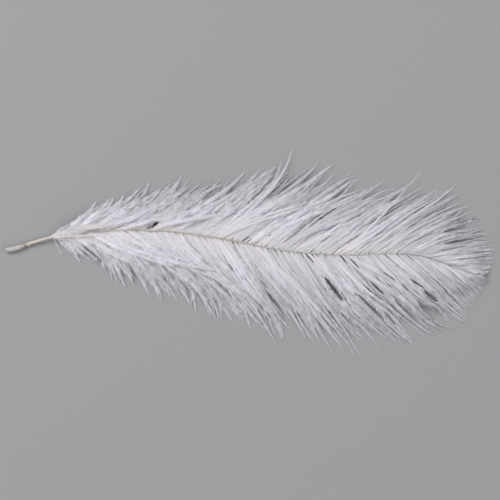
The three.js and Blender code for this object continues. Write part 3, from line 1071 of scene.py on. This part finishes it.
def placed_barbs(strands, rng):
    """The barbs of strands that are placed one by one."""
    t = np.linspace(0, 1, LINE_STEPS)[:, None]
    barbs = []
    for root_x, tip_x, tip_y, root_heading, tip_heading, count, lift, lay, fluff in strands:
        dip = (*PLACED_DIP, rng.random())
        for k in range(count):
            x = root_x + PLACED_GAP * (k - (count - 1) / 2)
            plan = bent_line(x, np.array((tip_x, tip_y)), root_heading, tip_heading)
            plan = plan + rng.normal(0, PLACED_STRAY, 2) * np.sin(math.pi * t)
            end = 1 - (0.0 if k == 0 else rng.uniform(*PLACED_SHORT))
            look = (lift + rng.normal(0, PLACED_LIFT), downiness(x), PLACED_TONE)
            barbs.append(Barb(x, plan, end, *look, lay, dip, PLACED_BILLOW, fluff, covers=True))
    return barbs


def build_placed(settings, name, strands, colour):
    """Builds one piece of strands that are placed one by one, with random draws of its own."""
    rng = np.random.default_rng((settings.seed, len(name)))
    sheet = BarbSheet()
    for barb in placed_barbs(strands, rng):
        add_barb(sheet, barb, settings, rng)
    sheet.build(name, down_material(settings, f"{name}_down", colour))


def build_bare_barbs(settings):
    """Builds the bare barbs, which have a fringe of short barbules, as one piece."""
    share = np.linspace(0, 1, BARE_STEPS)
    lean = np.full_like(share, BARE_LEAN)
    width = BARE_WIDTH - BARE_TAPER * share
    sheet = BarbSheet()
    rng = np.random.default_rng((settings.seed, BARE_SEED))
    for corners in (BRUSH_BARB, *GAP_BARBS):
        places = np.linspace(0, 1, len(corners))
        line = np.column_stack([np.interp(share, places, row) for row in zip(*corners)])
        length = np.full_like(share, GAP_BARBULE)
        if corners == BRUSH_BARB:
            length = STEM_BARBULE + BRUSH_BARBULE * smoothstep(*BRUSH_PART, share)
        sheet.add(line, width, length, lean, lean / 3, 1.0, rng, parted=False)
    sheet.build("bare_barbs", down_material(settings, "bare_barb_down", settings.down_colour))


# ---- Stage -------------------------------------------------------------------------------------

# Lengths here are metres, apart from the camera's lens and sensor.
FLOOR_HALF = 4.0  # half the floor's side
LIGHTS = (  # name, place, side, and share of the light's power
    ("key_light", (-1.2, 0.95, 1.6), 1.4, 0.92),
    ("fill_light", (1.4, -0.7, 1.7), 2.4, 0.5),
)
WORLD_STRENGTH = 0.4
LENS, SENSOR_WIDTH = 85, 36  # millimetres
SEEN_WIDTH = 0.287  # width that the camera takes in
SEEN_MIDDLE = (-0.0006, 0.0024, 0.002)  # middle of what it takes in


def add_floor(scene, settings):
    """A plain floor at height 0, which isn't part of the plume."""
    half = FLOOR_HALF
    mesh = bpy.data.meshes.new("floor")
    corners = [(-half, -half, 0), (half, -half, 0), (half, half, 0), (-half, half, 0)]
    mesh.from_pydata(corners, [], [(0, 1, 2, 3)])
    floor = bpy.data.objects.new("floor", mesh)
    scene.collection.objects.link(floor)
    mesh.materials.append(floor_material(settings))


def add_lights(scene, settings):
    """Two soft lights that face the plume, and even white light from all round."""
    for name, place, size, share in LIGHTS:
        data = bpy.data.lights.new(name, "AREA")
        data.energy = settings.light_power * share
        data.size = size
        light = bpy.data.objects.new(name, data)
        light.location = place
        light.rotation_euler = (-Vector(place)).to_track_quat("-Z", "Y").to_euler()
        scene.collection.objects.link(light)
    world = bpy.data.worlds.new("studio")
    world.use_nodes = True
    background = world.node_tree.nodes["Background"]
    background.inputs["Color"].default_value = (1, 1, 1, 1)
    background.inputs["Strength"].default_value = WORLD_STRENGTH
    scene.world = world


def add_camera(scene):
    """The camera, which looks straight down."""
    data = bpy.data.cameras.new("camera")
    data.lens = LENS
    data.sensor_width = SENSOR_WIDTH
    camera = bpy.data.objects.new("camera", data)
    x, y, z = SEEN_MIDDLE
    camera.location = (x, y, z + SEEN_WIDTH * LENS / SENSOR_WIDTH)
    scene.collection.objects.link(camera)
    scene.camera = camera


# ---- Settings ----------------------------------------------------------------------------------


class PlumeSettings(bpy.types.PropertyGroup):
    """Sizes and colours of the plume and of the stage."""

    seed: IntProperty(name="Seed", description="Start of the random draws", default=7)
    barb_spacing: FloatProperty(
        name="Barb spacing",
        description="Distance between barbs along the shaft",
        default=0.5 * MM,
        unit="LENGTH",
    )
    barbule_spacing: FloatProperty(
        name="Barbule spacing",
        description="Distance between barbules along a barb",
        default=0.38 * MM,
        unit="LENGTH",
    )
    downy_barbule: FloatProperty(
        name="Downy barbule",
        description="Length of a barbule near the quill",
        default=2.4 * MM,
        unit="LENGTH",
    )
    crisp_barbule: FloatProperty(
        name="Crisp barbule",
        description="Length of a barbule near the plume's tip",
        default=1.65 * MM,
        unit="LENGTH",
    )
    down_colour: FloatVectorProperty(
        name="Down", description="Colour of the barbs", subtype="COLOR", default=(0.84, 0.83, 0.87)
    )
    down_tip_colour: FloatVectorProperty(
        name="Down at the tips",
        description="Colour of the barbs' tips",
        subtype="COLOR",
        default=(0.72, 0.72, 0.75),
    )
    down_root_colour: FloatVectorProperty(
        name="Down at the shaft",
        description="Colour of the barbs' roots",
        subtype="COLOR",
        default=(0.84, 0.82, 0.84),
    )
    cover_colour: FloatVectorProperty(
        name="Down over the shaft",
        description="Colour of the down that covers the first part of the shaft",
        subtype="COLOR",
        default=(0.83, 0.795, 0.79),
    )
    quill_end_colour: FloatVectorProperty(
        name="Quill end",
        description="Colour of the quill's end",
        subtype="COLOR",
        default=(0.39, 0.375, 0.37),
    )
    sheath_colour: FloatVectorProperty(
        name="Sheath",
        description="Colour of the crumpled skin around the quill",
        subtype="COLOR",
        default=(0.54, 0.51, 0.48),
    )
    sheath_edge_colour: FloatVectorProperty(
        name="Sheath edge",
        description="Colour of the marks along the sheath's torn edge",
        subtype="COLOR",
        default=(0.10, 0.06, 0.04),
    )
    quill_colour: FloatVectorProperty(
        name="Quill",
        description="Colour of the bare quill",
        subtype="COLOR",
        default=(0.50, 0.465, 0.41),
    )
    rachis_colour: FloatVectorProperty(
        name="Rachis",
        description="Colour of the shaft in the vane's first half",
        subtype="COLOR",
        default=(0.42, 0.385, 0.335),
    )
    rachis_pale_colour: FloatVectorProperty(
        name="Pale rachis",
        description="Colour of the shaft in the vane's second half",
        subtype="COLOR",
        default=(0.43, 0.42, 0.40),
    )
    # painted shade: a near-black colour at the shaft's tip that stands in for the shadowed valley
    # between the vanes
    rachis_tip_shade_colour: FloatVectorProperty(
        name="Rachis tip",
        description="Colour of the shaft's last part",
        subtype="COLOR",
        default=(0.13, 0.12, 0.11),
    )
    floor_colour: FloatVectorProperty(
        name="Floor",
        description="Colour of the floor",
        subtype="COLOR",
        default=(0.26, 0.26, 0.27),
    )
    light_power: FloatProperty(
        name="Light", description="Power of the main soft light", default=52.0, unit="POWER"
    )


# ---- Operators ---------------------------------------------------------------------------------


class PLUME_OT_stage(bpy.types.Operator):
    """Build the floor, the lights and the camera"""

    bl_idname = "plume.stage"
    bl_label = "Stage"

    def execute(self, context):
        scene = context.scene
        add_floor(scene, scene.plume)
        add_lights(scene, scene.plume)
        add_camera(scene)
        scene.view_settings.view_transform = "Standard"
        return {"FINISHED"}


class PLUME_OT_shaft(bpy.types.Operator):
    """Build the quill and the rachis"""

    bl_idname = "plume.shaft"
    bl_label = "Shaft"

    def execute(self, context):
        points, faces, along, around = shaft_mesh()
        uvs = np.column_stack((along, around * (1 - 1 / SHAFT_SIDES)))
        fields = {"along": along, "around": around}
        piece = mesh_object("shaft", points, faces, uvs, fields, smooth=True)
        dress(piece, keratin_material(context.scene.plume))
        return {"FINISHED"}


class PLUME_OT_sheath(bpy.types.Operator):
    """Build the papery sheath around the quill's end and the chip beyond it"""

    bl_idname = "plume.sheath"
    bl_label = "Sheath"

    def execute(self, context):
        paper = sheath_material(context.scene.plume)
        for name, build in (("sheath", sheath_mesh), ("sheath_chip", chip_mesh)):
            points, faces, along, around = build()
            uvs = np.column_stack((along, around))
            fields = {"along": along, "around": around}
            piece = mesh_object(name, points, faces, uvs, fields, smooth=name == "sheath")
            dress(piece, paper)
        return {"FINISHED"}


class PLUME_OT_vanes(bpy.types.Operator):
    """Build the barbs of both vanes"""

    bl_idname = "plume.vanes"
    bl_label = "Vanes"

    def execute(self, context):
        settings = context.scene.plume
        down = down_material(settings, "white_down", settings.down_colour)
        for number, (vane_name, vane) in enumerate(VANES.items()):
            rng = np.random.default_rng((settings.seed, number))
            barbs = vane_barbs(vane, settings, rng)
            shares = np.array_split(np.arange(len(barbs)), len(SHEET_NAMES))
            for sheet_name, members in zip(SHEET_NAMES, shares):
                sheet = BarbSheet()
                for i in members:
                    add_barb(sheet, barbs[i], settings, rng)
                sheet.build(f"{vane_name}_barbs_{sheet_name}", down)
        return {"FINISHED"}


class PLUME_OT_loose_strands(bpy.types.Operator):
    """Build the single strands that lie over the vanes"""

    bl_idname = "plume.loose_strands"
    bl_label = "Loose strands"

    def execute(self, context):
        settings = context.scene.plume
        build_placed(settings, "loose_strands", LOOSE_STRANDS, settings.down_colour)
        return {"FINISHED"}


class PLUME_OT_base_down(bpy.types.Operator):
    """Build the tufts under the vane's start, the down over the shaft and the bare barbs"""

    bl_idname = "plume.base_down"
    bl_label = "Base down"

    def execute(self, context):
        settings = context.scene.plume
        build_placed(settings, "base_tufts", BASE_TUFTS, settings.down_colour)
        build_placed(settings, "shaft_cover", COVER_STRANDS, settings.cover_colour)
        build_bare_barbs(settings)
        return {"FINISHED"}


class PLUME_PT_panel(bpy.types.Panel):
    """The plume's sizes, colours and pieces"""

    bl_label = "Ostrich Plume"
    bl_idname = "PLUME_PT_panel"
    bl_space_type = "VIEW_3D"
    bl_region_type = "UI"
    bl_category = "Plume"

    def draw(self, context):
        layout = self.layout
        for name in PlumeSettings.__annotations__:
            layout.prop(context.scene.plume, name)
        for operator in OPERATORS:
            layout.operator(operator.bl_idname)


OPERATORS = (
    PLUME_OT_stage,
    PLUME_OT_shaft,
    PLUME_OT_sheath,
    PLUME_OT_vanes,
    PLUME_OT_loose_strands,
    PLUME_OT_base_down,
)
CLASSES = (PlumeSettings, *OPERATORS, PLUME_PT_panel)


def register():
    for cls in CLASSES:
        bpy.utils.register_class(cls)
    bpy.types.Scene.plume = PointerProperty(type=PlumeSettings)


def unregister():
    del bpy.types.Scene.plume
    for cls in reversed(CLASSES):
        bpy.utils.unregister_class(cls)


def main():
    """Builds the plume and its stage."""
    register()
    bpy.ops.plume.stage()
    bpy.ops.plume.shaft()
    bpy.ops.plume.sheath()
    bpy.ops.plume.vanes()
    bpy.ops.plume.loose_strands()
    bpy.ops.plume.base_down()


if __name__ == "__main__":
    main()
